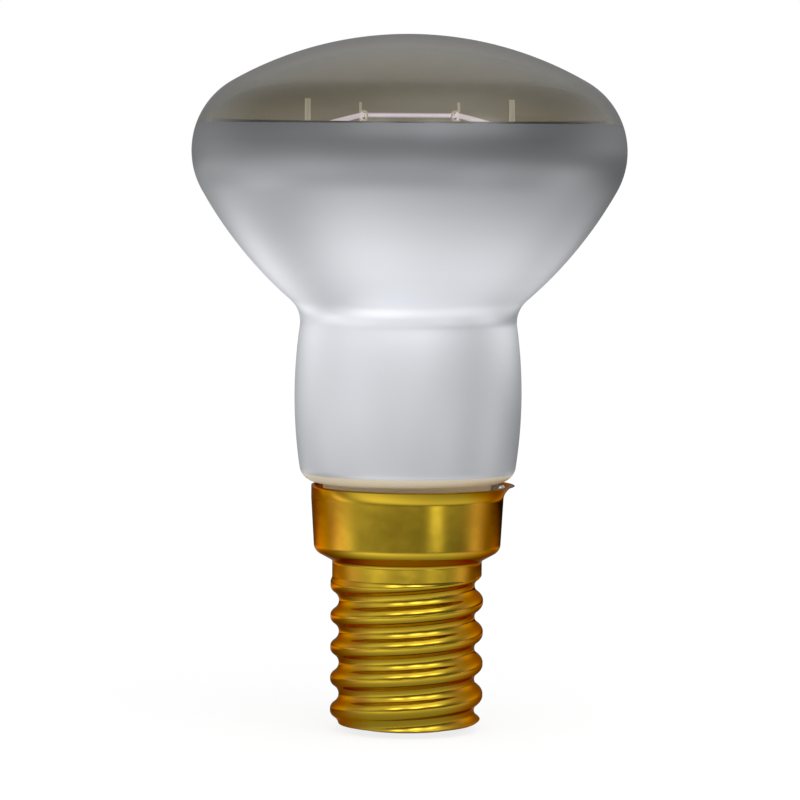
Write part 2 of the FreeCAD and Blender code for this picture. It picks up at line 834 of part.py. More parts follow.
# both sides: seal wire through the press, inner lead past the filament's end, with its clamp
seal_foot = press_bottom + size.weld_depth
seal_length = press_top - press_bottom - size.weld_depth * 2
clamp_radius = size.filament_radius + size.hook_wire
lead_aside = size.filament_radius + size.lead_radius
lead_height = end_height - seal_foot - seal_length
level = root(aside * aside + back * back)
pressed_in = []
seal_wires = []
inner_leads = []
for side, hand, turn in (("right", 1, 0), ("left", -1, 180)):
    foot = spot(size.lead_spacing.value, turn, seal_foot.value)
    seal_wire = rod(f"seal_wire_{side}", size.seal_radius, seal_length,
                    FreeCAD.Placement(foot, FreeCAD.Rotation()))
    seal_wires.append(seal_wire)
    start = (size.lead_spacing * hand * cosine(size.press_turn),
             size.lead_spacing * hand * sine(size.press_turn))
    # the lead passes beside the filament's end, square to its span
    finish = (size.end_aside * hand + lead_aside * hand * back / level,
              lead_aside * aside / level - size.end_forward)
    spread = reach(start, finish)
    outward = V(finish[0].value - start[0].value, finish[1].value - start[1].value, 0).normalize()
    lead = pipe(f"lead_{side}", [
        (ZERO, ZERO),
        (ZERO, size.lead_rise, size.wire_bend),
        (spread, lead_height - size.lead_drop, size.wire_bend),
        (spread, lead_height + size.lead_tip),
    ], size.lead_radius, frame_at(foot + Z_AXIS * seal_length.value, outward, Z_AXIS))
    end = V(first_end.x * -hand, first_end.y, first_end.z)
    clamp = ring(f"clamp_{side}", clamp_radius, size.hook_wire,
                 FreeCAD.Placement(end, FreeCAD.Rotation(Z_AXIS, V(span_way.x * -hand, span_way.y,
                                                                   span_way.z))))
    inner_leads.append(fuse_all(f"inner_lead_{side}", [lead, clamp]))
    pressed_in.extend([seal_wire, lead])

# outer leads: the centre one reaches the contact, the side one folds up outside the glass
centre_lead = pipe("centre_lead", [
    (ZERO, ZERO),
    (ZERO, seal_foot - size.exhaust_tip + size.lead_clear, size.wire_bend),
    (size.lead_spacing, seal_foot - size.insulator_top + size.lead_clear, size.wire_bend),
    (size.lead_spacing, seal_foot - size.solder_hold),
], size.outer_radius, frame_at(spot(size.lead_spacing.value, 180, seal_foot.value),
                               along(0), V(0, 0, -1)))
side_x = size.spigot_radius + size.wire_play + size.outer_radius
side_lead = pipe("side_lead", [
    (ZERO, ZERO),
    (ZERO, seal_foot - seal_height + size.side_drop, size.side_bend),
    (side_x - size.lead_spacing, seal_foot - seal_height + size.side_drop, size.side_bend),
    (side_x - size.lead_spacing, seal_foot - side_tip),
], size.outer_radius, frame_at(spot(size.lead_spacing.value, 0, seal_foot.value),
                               along(0), V(0, 0, -1)))
pressed_in.extend([centre_lead, side_lead])
glass_stem = cut_all("glass_stem", stem_body, pressed_in)

# support wires, gripped in the button, each with a loop round a bend of the filament
loop_radius = size.filament_radius + size.loop_play + size.support_radius
grip_radius = size.button_radius - size.support_grip
button_middle = rod_height + size.button_thick / 2
support_rise = bend_height - button_middle
support_run = reach((ZERO, ZERO), (size.bend_aside, size.bend_back)) - grip_radius + loop_radius
support_wires = []
gripped = []
for side, hand in (("right", 1), ("left", -1)):
    held = V(size.bend_aside.value * hand, size.bend_back.value, 0)
    outward = V(held.x, held.y, 0).normalize()
    wire = pipe(f"support_{side}", [
        (ZERO, ZERO),
        (ZERO, size.support_reach, size.support_bend),
        (support_rise - size.support_drop, support_run, size.support_bend),
        (support_rise + size.support_tip, support_run),
    ], size.support_radius, frame_at(outward * grip_radius.value + Z_AXIS * button_middle.value,
                                     Z_AXIS, outward))
    loop = ring(f"loop_{side}", loop_radius, size.support_radius,
                FreeCAD.Placement(held + Z_AXIS * bend_height.value,
                                  FreeCAD.Rotation(Z_AXIS, outward.cross(Z_AXIS))))
    support_wires.append(fuse_all(f"support_wire_{side}", [wire, loop]))
    gripped.append(wire)
button_rod = cut_all("button_rod", button_body, gripped)

# solder of the centre contact, with a small flat where it meets the holder's tongue
solder_body = new_body("solder_body")
turned(solder_body, "solder_turn", [
    (ZERO, ZERO),
    (size.solder_flat, ZERO),
    (size.solder_radius, size.eyelet_drop),
    (size.insulator_bore, size.eyelet_drop),
    (size.insulator_bore, eyelet_top),
    (ZERO, eyelet_top),
])
contact_solder = cut_all("contact_solder", solder_body, [centre_lead])

# cement that fills the gap between the glass and the collar
cement_blank = new_body("cement_blank")
turned(cement_blank, "cement_turn", [
    (size.spigot_radius, seal_height + size.cement_lift),
    (size.lip_radius, seal_height + size.cement_lift),
    (size.lip_radius, size.rim_height - size.cement_sink),
    (size.spigot_radius, size.rim_height - size.cement_sink),
])
cement_ring = boolean("Part::Common", "cement_ring", cap_core, cement_blank)
capping_cement = cut_all("capping_cement", cement_ring, [side_lead])

# bead that joins the side lead to the collar's lip
bead = doc.addObject("Part::Sphere", "bead")
bead.setExpression("Radius", size.bead_radius.formula)
bead.Placement = FreeCAD.Placement(spot(side_x.value + size.bead_aside.value, 0, side_tip.value),
                                   FreeCAD.Rotation())
bead_inside = boolean("Part::Common", "bead_inside", bead, cap_core)
side_solder = cut_all("side_solder", bead_inside, [side_lead, capping_cement, envelope])

doc.recompute()
nodes = [envelope, mirror_film, glass_stem, exhaust_tube, button_rod]
nodes += seal_wires + inner_leads + support_wires
nodes += [filament, centre_lead, side_lead, cap_shell, cap_insulator, contact_eyelet]
nodes += [contact_solder, capping_cement, side_solder]

for thing in doc.Objects:
    if "Invalid" in thing.State or "Error" in thing.State:
        raise RuntimeError(f"{thing.Label} did not build: {thing.State}")
for node in nodes:
    if node.Shape.isNull() or not node.Shape.isValid():
        raise RuntimeError(f"{node.Label} has no valid shape")

os.makedirs("parts", exist_ok=True)
for node in nodes:
    node.Shape.exportStep(f"parts/{node.Label}.step")
    print(f"{node.Label}: {node.Shape.Volume:.3f} mm3 in {len(node.Shape.Solids)} solid")
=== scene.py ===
"""Looks of a small reflector bulb: blown glass, mirror film, brass screw cap and filament mount.

The file is laid out as an add-on and run as a script. Every length in a setting is in
millimetres, as on a drawing, and turns into metres where a mesh is made.
"""

import math

import bmesh
import bpy
from mathutils import Matrix, Vector


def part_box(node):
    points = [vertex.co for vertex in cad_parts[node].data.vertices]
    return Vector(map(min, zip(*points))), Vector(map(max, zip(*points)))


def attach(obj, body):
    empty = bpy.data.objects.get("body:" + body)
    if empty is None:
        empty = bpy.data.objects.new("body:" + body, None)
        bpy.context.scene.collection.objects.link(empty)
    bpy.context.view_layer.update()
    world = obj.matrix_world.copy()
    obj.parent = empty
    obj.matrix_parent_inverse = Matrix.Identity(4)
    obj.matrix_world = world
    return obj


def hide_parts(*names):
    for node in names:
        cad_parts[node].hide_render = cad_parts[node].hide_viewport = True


bl_info = {
    "name": "Reflector Bulb",
    "version": (1, 0, 0),
    "blender": (4, 5, 0),
    "location": "3D View > Sidebar > Bulb",
    "description": "Builds the glass, mirror film, screw cap and filament of a reflector bulb",
    "category": "Add Mesh",
}

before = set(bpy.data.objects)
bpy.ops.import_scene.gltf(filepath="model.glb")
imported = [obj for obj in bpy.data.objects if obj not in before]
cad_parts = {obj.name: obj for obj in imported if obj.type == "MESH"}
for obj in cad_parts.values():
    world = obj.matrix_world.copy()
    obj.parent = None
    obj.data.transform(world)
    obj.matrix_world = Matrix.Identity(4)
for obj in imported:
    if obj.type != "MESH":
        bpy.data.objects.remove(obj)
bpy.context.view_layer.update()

MM = 0.001
WHITE = (1.0, 1.0, 1.0, 1.0)
SODA_LIME_IOR = 1.52

# points in a ring of the glass or the cap, and the straight runs that draw each arc
ROUND = 256
RUNS = {"dome": 30, "shoulder": 32, "flank": 32, "waist": 18, "neck": 30, "corner": 12,
        "fillet": 10, "cap bend": 10, "lip": 10, "filament bend": 6}
# longest run of the cap's outline in millimetres, short enough for a round thread
CAP_RUN = 0.14
# slope of the lip at its foot, as a share of its mean slope
LIP_FOOT_SLOPE = 0.2
# points in a turn of the filament's coil, and sides of its wire
COIL_POINTS = 12
WIRE_SIDES = 8
# points that are closer than this, in metres, are one
SAME_PLACE = 1e-7
# places of the glass's materials in its mesh
CROWN, SILVERED, FOOT, INSIDE = range(4)

# reach of the floor to each side in millimetres, the light that its paper sends back, its glow
FLOOR_REACH = 3000
PAPER_SHARE = 0.2
PAPER_GLOW = 0.9

# soft lamps as round glows: azimuth and elevation in degrees, sharpness, strength.
# The last has no sharpness, so it is the dim light from all round
GLOWS = (
    (45, 36, 60, 3.2),
    (14, 34, 60, 4.6),
    (-20, 35, 60, 3.4),
    (0, 62, 8, 1.0),
    (300, 32, 8, 0.9),
    (60, 60, 8, 1.0),
    (240, 6, 8, 0.9),
    (120, 6, 8, 0.9),
    (180, 50, 8, 0.8),
    (0, 90, 0, 0.13),
)
# painted shade on the silver: share of the film's tone that is kept, by height in millimetres, so
# that it is dimmer towards the shoulder and the cap
FILM_SHADE_BY_HEIGHT = (
    (22.8, 0.56),
    (26.4, 0.66),
    (30.0, 0.78),
    (35.8, 0.95),
    (40.2, 0.98),
    (41.6, 0.93),
    (43.4, 0.8),
    (45.1, 0.66),
    (47.0, 0.54),
    (50.5, 0.38),
    (53.2, 0.19),
    (54.7, 0.15),
)
# pools of light that the floor throws up at the bulb: distance in millimetres, azimuth in
# degrees, spread in millimetres, strength
POOLS = (
    (45, 0, 20, 0.75),
    (45, 45, 20, 0.64),
    (45, 90, 20, 0.71),
    (45, 315, 20, 1.25),
    (100, 34, 11, 1.5),
    (95, 90, 16, 0.8),
    (95, 140, 28, 0.8),
    (95, 225, 30, 1.34),
    (95, 270, 16, 1.05),
    (95, 285, 16, 0.83),
    (180, 0, 45, 1.1),
    (180, 45, 45, 1.26),
    (180, 90, 45, 1.41),
    (180, 270, 45, 0.84),
    (180, 315, 45, 1.32),
    (450, 0, 150, 1.36),
    (450, 240, 150, 1.47),
    (450, 300, 150, 1.7),
)


def top_of(node):
    """Highest point of a CAD node, in millimetres."""
    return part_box(node)[1].z / MM


def foot_of(node):
    """Lowest point of a CAD node, in millimetres."""
    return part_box(node)[0].z / MM


def length(name, description, default):
    """A size in millimetres that a user may change."""
    return bpy.props.FloatProperty(name=name, description=description, default=default,
                                   min=0.0, precision=3, unit="NONE", subtype="DISTANCE")


def tilt(name, description, degrees):
    """An angle that a user may change, with its default in degrees."""
    return bpy.props.FloatProperty(name=name, description=description,
                                   default=math.radians(degrees), subtype="ANGLE")


def tone(name, description, code):
    """A surface colour, kept as linear light and given as an sRGB hex code."""
    return bpy.props.FloatVectorProperty(name=name, description=description, size=3,
                                         default=linear(code), min=0.0, max=1.0, subtype="COLOR")


def linear(code):
    """Turn an sRGB hex code such as "c8a040" into linear red, green and blue."""
    values = []
    for place in (0, 2, 4):
        level = int(code[place:place + 2], 16) / 255
        values.append(level / 12.92 if level <= 0.04045 else ((level + 0.055) / 1.055) ** 2.4)
    return tuple(values)


class BulbGlassSettings(bpy.types.PropertyGroup):
    """Sizes and colours of the blown glass and of the film inside it."""

    bulb_radius: length("Bulb radius", "Largest radius of the glass", 19.5)
    dome_radius: length("Dome radius", "Radius of the flat crown", 32.0)
    shoulder_radius: length("Shoulder radius", "Radius of the round shoulder", 7.2)
    flank_radius: length("Flank radius", "Radius of the flank's slow curve", 37.0)
    waist_radius: length("Waist radius", "Radius of the hollow above the neck", 2.6)
    waist_drop: length("Waist drop", "Distance of that hollow's centre below the crown", 25.75)
    neck_radius: length("Neck radius", "Largest radius of the neck", 10.2)
    neck_fall: length("Neck fall", "Distance of the neck's widest ring below the waist", 6.6)
    ledge_gap: length("Ledge gap", "Distance of the neck's lower end above the rim", 0.2)
    ledge_width: length("Ledge width", "Width of the flat under the neck", 0.22)
    wall: length("Wall", "Thickness of the glass", 1.1)
    corner_inside: length("Inner corner", "Radius inside the neck's lower corner", 0.42)
    spigot_radius: length("Tail radius", "Radius of the glass tube in the cap", 7.6)
    spigot_fillet: length("Tail fillet", "Radius between neck and tube", 0.4)
    film_gap: length("Film gap", "Clearance between glass and film in the mesh", 0.01)
    film_wall: length("Film wall", "Thickness of the film's mesh", 0.09)
    # painted shade: the crown's tint darkens the white seen through it to dim brownish
    # surroundings
    crown_shade_tone: tone("Crown", "Smoky tint of the crown", "767060")
    # painted shade: the inner skin's tint darkens the view through the crown a little more
    skin_shade_tone: tone("Inner skin", "Tint of the glass's inner skin", "e0dcce")
    foot_tone: tone("Foot", "Tint of the milky strip above the cap", "e8dabe")
    film_tone: tone("Film", "Tint of the mirror film", "f8faff")


class CapSettings(bpy.types.PropertyGroup):
    """Sizes and colours of the brass shell, and colours of what is set into it."""

    wall: length("Sheet", "Thickness of the brass", 0.3)
    bottom: length("Bottom", "Height of the rolled lower edge", 0.6)
    corner: length("Lower corner", "Radius of the rolled lower edge", 1.1)
    mouth: length("Mouth", "Radius of the opening in the bottom", 5.0)
    crest: length("Crest", "Radius over the thread crests", 6.9)
    root: length("Root", "Radius in the thread roots", 6.12)
    pitch: length("Pitch", "Rise of the thread in one turn", 2.822)
    thread_start: length("Thread start", "Height of the thread's upper end", 13.88)
    relief: length("Relief", "How far the blank lies below the crests", 0.02)
    fade_offset: length("Run-out offset", "Distance of the run-out's axis", 3.0)
    band_radius: length("Band radius", "Radius of the plain band", 6.74)
    band_step: length("Band step", "Height where the band starts", 13.55)
    band_taper: length("Band taper", "Height of the slope under the band", 0.35)
    shoulder_height: length("Shoulder", "Height of the shoulder's foot", 15.45)
    shoulder_rise: length("Shoulder rise", "Rise of the shoulder", 0.9)
    shoulder_fillet: length("Shoulder fillet", "Radius of the shoulder's foot", 0.35)
    collar_fillet: length("Collar fillet", "Radius of the collar's lower edge", 0.95)
    collar_foot: length("Collar foot", "Radius of the collar below", 8.38)
    collar_radius: length("Collar radius", "Radius of the collar above", 8.66)
    lip_height: length("Lip foot", "Height where the lip turns out", 21.1)
    lip_radius: length("Lip radius", "Radius of the rim", 9.15)
    lip_offset: length("Lip offset", "How far the rim is pushed aside", 0.5)
    lip_side: tilt("Lip side", "Side of the push, turned from the right", -10.0)
    brass_tone: tone("Brass", "Polished brass seen square on", "b4972a")
    # painted reflection: the darker amber that the brass is given at its left and right sides
    brass_painted_side: tone("Brass side", "Brass under thick lacquer, at both sides", "b47a26")
    brass_edge: tone("Brass edge", "Brass seen at a shallow angle", "f0b070")
    insulator_tone: tone("Insulator", "Black glass in the lower end", "0d0d10")
    solder_tone: tone("Solder", "Tin solder of both beads", "b9bbbd")
    cement_dark: tone("Dark cement", "Darker grains of the cement", "b9a392")
    cement_pale: tone("Pale cement", "Paler grains of the cement", "e6d8cc")
    cement_painted_glow: tone("Cement glow", "Light that the brass throws on the cement", "e8c878")


class MountSettings(bpy.types.PropertyGroup):
    """Sizes of the filament, and colours of the stem and the wires."""

    filament_radius: length("Coil radius", "Outer radius of the filament coil", 0.3)
    filament_wire: length("Coil wire", "Radius of the wire that is coiled", 0.075)
    filament_pitch: length("Coil pitch", "Rise of the coil in one turn", 0.24)
    end_aside: length("End aside", "Distance of the filament's ends to each side", 8.6)
    end_forward: length("End forward", "Distance of the ends to the front", 2.2)
    end_height: length("End height", "Height of the filament's ends", 54.3)
    bend_aside: length("Bend aside", "Distance of the filament's bends to each side", 4.2)
    bend_back: length("Bend back", "Distance of the bends to the back", 6.2)
    bend_height: length("Bend height", "Height of the filament's bends", 56.0)
    bend_radius: length("Bend radius", "Radius of the filament's bends", 0.6)
    tail: length("Tail", "Length of the filament past its clamps", 0.7)
    stem_tone: tone("Stem", "Tint of the pressed glass", "eef0ec")
    copper_tone: tone("Copper", "Copper of the seals and of the leads in the cap", "b8704a")
    nickel_tone: tone("Nickel", "Nickel of the clamps and the supports", "e6e2da")
    tungsten_tone: tone("Tungsten", "Tungsten of the filament", "dcd6ee")


class StageSettings(bpy.types.PropertyGroup):
    """Floor, lamps and camera."""

    distance: length("Distance", "Camera distance from the bulb's axis", 380.0)
    height: length("Height", "Height of the camera above the floor", 54.7)
    aside: length("Aside", "Distance of the camera to the left", 0.72)
    pitch: tilt("Pitch", "How far the camera looks down", 3.74)
    roll: tilt("Roll", "Turn of the camera about its view", 0.35)
    focal: bpy.props.FloatProperty(name="Focal length", description="Lens on a 36 mm sensor",
                                   default=190.7, unit="CAMERA")
    floor_tone: tone("Floor", "Colour of the floor", "f4f4f4")


def settings(name):
    """The settings of one group, as the panel shows them."""
    return getattr(bpy.context.scene, name)


def add_node(tree, kind, inputs=None, **options):
    """Add a node, set its options, and set or link its inputs."""
    node = tree.nodes.new(kind)
    for name, value in options.items():
        setattr(node, name, value)
    for name, value in (inputs or {}).items():
        if isinstance(value, bpy.types.NodeSocket):
            tree.links.new(value, node.inputs[name])
        else:
            node.inputs[name].default_value = value
    return node


def new_material(name, finish):
    """Start a material, and give it with its node tree and its surface shader."""
    material = bpy.data.materials.new(name)
    material.use_nodes = True
    tree = material.node_tree
    tree.nodes.clear()
    shader = add_node(tree, "ShaderNodeBsdfPrincipled", finish)
    add_node(tree, "ShaderNodeOutputMaterial", {"Surface": shader.outputs["BSDF"]})
    return material, tree, shader


def opaque(colour):
    """A colour as a node takes it, with full cover."""
    return (*colour, 1.0)


def object_space(tree):
    """Places on the piece, in metres."""
    return add_node(tree, "ShaderNodeTexCoord").outputs["Object"]


def bumped(tree, shader, height, depth_mm):
    """Roughen the surface by a height pattern of a real depth."""
    bump = add_node(tree, "ShaderNodeBump", {"Strength": 1.0, "Distance": depth_mm * MM,
                                             "Height": height})
    tree.links.new(bump.outputs["Normal"], shader.inputs["Normal"])


def noise(tree, size_mm, detail=2.0, roughness=0.5):
    """Soft blotches of a real size."""
    return add_node(tree, "ShaderNodeTexNoise", {
        "Vector": object_space(tree), "Scale": 1 / (size_mm * MM), "Detail": detail,
        "Roughness": roughness}).outputs["Fac"]


def tone_by_height(tree, marks):
    """Colours by height: marks are heights in millimetres with their linear colours."""
    low, high = marks[0][0], marks[-1][0]
    height = add_node(tree, "ShaderNodeSeparateXYZ", {"Vector": object_space(tree)}).outputs["Z"]
    share = add_node(tree, "ShaderNodeMapRange", {"Value": height, "From Min": low * MM,
                                                  "From Max": high * MM}).outputs["Result"]
    ramp = add_node(tree, "ShaderNodeValToRGB", {"Fac": share})
    stops = ramp.color_ramp.elements
    stops[0].color, stops[1].color = opaque(marks[0][1]), opaque(marks[-1][1])
    for level, colour in marks[1:-1]:
        stops.new((level - low) / (high - low)).color = opaque(colour)
    return ramp.outputs["Color"]


def clear_glass(name, tint, bloom=0.0):
    """Blown soda-lime glass: fire-polished and slowly wavy. Bloom is a trace of haze on it."""
    material, tree, shader = new_material(name, {
        "Base Color": opaque(tint), "Roughness": 0.0, "IOR": SODA_LIME_IOR,
        "Transmission Weight": 1.0, "Sheen Weight": bloom, "Sheen Roughness": 0.15})
    bumped(tree, shader, noise(tree, 9.0), 0.02)
    return material


def frosted_glass(tint):
    """Glass at the neck's lower end, over the cement: pale and milky, with a weak painted glow
    that brightens the shaded strip above the cap.
    """
    # painted light: a weak glow in the foot's tint
    material, tree, shader = new_material("frosted_soda_lime_glass", {
        "Base Color": opaque(tint), "Roughness": 0.3, "IOR": SODA_LIME_IOR,
        "Transmission Weight": 0.3, "Emission Color": opaque(tint), "Emission Strength": 0.1})
    bumped(tree, shader, noise(tree, 0.4, 3.0), 0.02)
    return material


def silvered_glass(name, tint, metallic, roughness):
    """Aluminium film laid as vapour, or the glass skin over it.

    It looks silver, and its colour holds painted shade that makes it dimmer towards the shoulder
    and the cap.
    """
    material, tree, shader = new_material(name, {"Metallic": metallic, "Roughness": roughness})
    # painted shade: the tint is scaled down by height, towards the shoulder and the cap
    shaded_tones = [(height, Vector(tint) * share) for height, share in FILM_SHADE_BY_HEIGHT]
    tree.links.new(tone_by_height(tree, shaded_tones), shader.inputs["Base Color"])
    return material


def stem_glass(tint):
    """Clear lead glass of the stem, pressed hot, so its skin is a little uneven."""
    material, tree, shader = new_material("pressed_stem_glass", {
        "Base Color": opaque(tint), "Roughness": 0.02, "IOR": 1.56, "Transmission Weight": 1.0})
    bumped(tree, shader, noise(tree, 2.0), 0.05)
    return material


def polished_brass(name):
    """Brass sheet, drawn, rolled and lacquered: yellow, and amber at the left and the right sides,
    where a reflection is painted into its colour.
    """
    cap = settings("bulb_cap")
    material, tree, shader = new_material(name, {"Metallic": 1.0,
                                                 "Specular Tint": opaque(cap.brass_edge)})
    # painted reflection: amber in the colour to the left and the right, with an uneven border
    place = add_node(tree, "ShaderNodeSeparateXYZ", {"Vector": object_space(tree)}).outputs
    turn = add_node(tree, "ShaderNodeMath", {0: place["X"], 1: place["Y"]}, operation="ARCTAN2")
    lean = add_node(tree, "ShaderNodeMath", {0: turn.outputs[0]}, operation="SINE").outputs[0]
    aside = add_node(tree, "ShaderNodeMath", {0: lean}, operation="ABSOLUTE").outputs[0]
    uneven = add_node(tree, "ShaderNodeMath", {0: noise(tree, 2.5), 1: 0.3, 2: aside},
                      operation="MULTIPLY_ADD").outputs[0]
    painted_amber = add_node(tree, "ShaderNodeMapRange", {"Value": uneven, "From Min": 0.65,
                                                  "From Max": 1.0}).outputs["Result"]
    side_reflection = add_node(tree, "ShaderNodeMix", {
        "Factor": painted_amber, "A": opaque(cap.brass_tone), "B": opaque(cap.brass_painted_side)},
        data_type="RGBA").outputs["Result"]
    tree.links.new(side_reflection, shader.inputs["Base Color"])
    # rolling leaves the polish finer in some places than in others
    polish = add_node(tree, "ShaderNodeMapRange", {
        "Value": noise(tree, 1.4, 3.0), "From Min": 0.3, "From Max": 0.7, "To Min": 0.08,
        "To Max": 0.15}).outputs["Result"]
    tree.links.new(polish, shader.inputs["Roughness"])
    bumped(tree, shader, noise(tree, 3.5), 0.03)
    return material


def black_cap_glass(tint):
    """Black glass cast hot into the cap: glossy, with small flow marks."""
    material, tree, shader = new_material("cast_black_glass", {
        "Base Color": opaque(tint), "Roughness": 0.12, "IOR": 1.55})
    bumped(tree, shader, noise(tree, 1.6, 3.0), 0.08)
    return material


def tin_solder(tint):
    """Tin solder set from a drop: dull silver with a frosty skin."""
    material, tree, shader = new_material("tin_solder", {
        "Base Color": opaque(tint), "Metallic": 1.0, "Roughness": 0.34})
    bumped(tree, shader, noise(tree, 0.5, 4.0), 0.03)
    return material


def drawn_wire(name, tint, roughness, painted_gleam=0.0):
    """Drawn metal wire: smooth, faintly marked by the die. Painted gleam is a glow in the wire's
    tint that stands in for its highlights, so that fine wire stands out.
    """
    # painted highlight: the wire glows in its own tint by the painted gleam
    material, tree, shader = new_material(name, {
        "Base Color": opaque(tint), "Metallic": 1.0, "Roughness": roughness,
        "Emission Color": opaque(tint), "Emission Strength": painted_gleam})
    bumped(tree, shader, noise(tree, 0.3), 0.004)
    return material


def capping_cement():
    """Baked white cement: matt, pale and gritty, with a painted glow in the brass's colour for the
    light that the brass throws on it.
    """
    cap = settings("bulb_cap")
    # painted light: the cement glows weakly in the colour of the brass's light
    material, tree, shader = new_material("baked_capping_cement", {
        "Roughness": 0.85, "Emission Color": opaque(cap.cement_painted_glow), "Emission Strength": 0.15})
    grit = noise(tree, 0.35, 5.0, 0.7)
    grains = add_node(tree, "ShaderNodeMix", {
        "Factor": grit, "A": opaque(cap.cement_dark), "B": opaque(cap.cement_pale)},
        data_type="RGBA").outputs["Result"]
    tree.links.new(grains, shader.inputs["Base Color"])
    bumped(tree, shader, grit, 0.08)
    return material


def mesh_object(name, points, faces, *materials, zones=None):
    """Make a piece from points in millimetres, with smooth faces that point outwards.

    Zones give each face the place of its material among the materials.
    """
    mesh = bpy.data.meshes.new(name)
    mesh.from_pydata([(x * MM, y * MM, z * MM) for x, y, z in points], [], faces)
    for material in materials:
        mesh.materials.append(material)
    if zones:
        mesh.polygons.foreach_set("material_index", zones)
    shape = bmesh.new()
    shape.from_mesh(mesh)
    bmesh.ops.remove_doubles(shape, verts=shape.verts, dist=SAME_PLACE)
    bmesh.ops.recalc_face_normals(shape, faces=shape.faces)
    for face in shape.faces:
        face.smooth = True
    shape.to_mesh(mesh)
    shape.free()
    piece = bpy.data.objects.new(name, mesh)
    bpy.context.scene.collection.objects.link(piece)
    return piece


def settle(piece, node):
    """Make a piece ride on the bulb, and let it stand for its CAD node."""
    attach(piece, "root")
    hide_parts(node)


def finish_node(node, material):
    """Give a CAD node that stays as it is a finished material."""
    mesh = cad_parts[node].data
    mesh.materials.clear()
    mesh.materials.append(material)


def arc_points(centre, radius, first, last, count):
    """Points on an arc between two angles in radians, both ends included."""
    return [(centre[0] + radius * math.cos(first + (last - first) * step / count),
             centre[1] + radius * math.sin(first + (last - first) * step / count))
            for step in range(count + 1)]


def rounded(corners):
    """Run through corners (r, z) or (r, z, radius), and round those that have a radius."""
    points = []
    for index, corner in enumerate(corners):
        here = Vector(corner[:2])
        if len(corner) < 3 or index in (0, len(corners) - 1):
            points.append(tuple(here))
            continue
        back = (Vector(corners[index - 1][:2]) - here).normalized()
        onward = (Vector(corners[index + 1][:2]) - here).normalized()
        half = back.angle(onward) / 2
        middle = here + (back + onward).normalized() * (corner[2] / math.sin(half))
        start = here + back * (corner[2] / math.tan(half)) - middle
        finish = here + onward * (corner[2] / math.tan(half)) - middle
        first = math.atan2(start.y, start.x)
        sweep = (math.atan2(finish.y, finish.x) - first + math.pi) % math.tau - math.pi
        points.extend(arc_points(middle, corner[2], first, first + sweep, RUNS["cap bend"]))
    return points


def divided(points, step):
    """Add points so that no run is longer than a step."""
    fine = [points[0]]
    for last in points[1:]:
        first = fine[-1]
        count = max(1, math.ceil(math.dist(first, last) / step))
        fine.extend((first[0] + (last[0] - first[0]) * i / count,
                     first[1] + (last[1] - first[1]) * i / count) for i in range(1, count + 1))
    return fine


def ring_faces(rings):
    """Quads between rings of points, the last ring joined to the first."""
    faces = []
    for row in range(rings):
        lower, upper = row * ROUND, (row + 1) % rings * ROUND
        for step in range(ROUND):
            nearby = (step + 1) % ROUND
            faces.append((lower + step, lower + nearby, upper + nearby, upper + step))
    return faces


def lathe(name, outline, *materials, zone=None):
    """Turn a closed outline (r, z) round the axis. Points on the axis close to a pole.

    Zone gives the place of a ring's material from the ring's number in the outline.
    """
    points = []
    for radius, height in outline:
        for step in range(ROUND):
            angle = math.tau * step / ROUND
            points.append((radius * math.cos(angle), radius * math.sin(angle), height))
    on_axis = {row for row, spot in enumerate(outline) if spot[0] == 0}
    kept = [face for face in ring_faces(len(outline))
            if not (face[0] // ROUND in on_axis and face[2] // ROUND in on_axis)]
    zones = [zone(face[0] // ROUND) for face in kept] if zone else None
    return mesh_object(name, points, kept, *materials, zones=zones)


def crossing(first, first_radius, second, second_radius):
    """Where two circles cross, on the right of the line between their centres."""
    across = Vector(second) - Vector(first)
    gap = across.length
    along = (first_radius ** 2 - second_radius ** 2 + gap ** 2) / (2 * gap)
    aside = math.sqrt(first_radius ** 2 - along ** 2)
    across.normalize()
    return (first[0] + across.x * along + across.y * aside,
            first[1] + across.y * along - across.x * aside)


def heading(start, finish):
    """Angle of the line from one point to another."""
    return math.atan2(finish[1] - start[1], finish[0] - start[0])


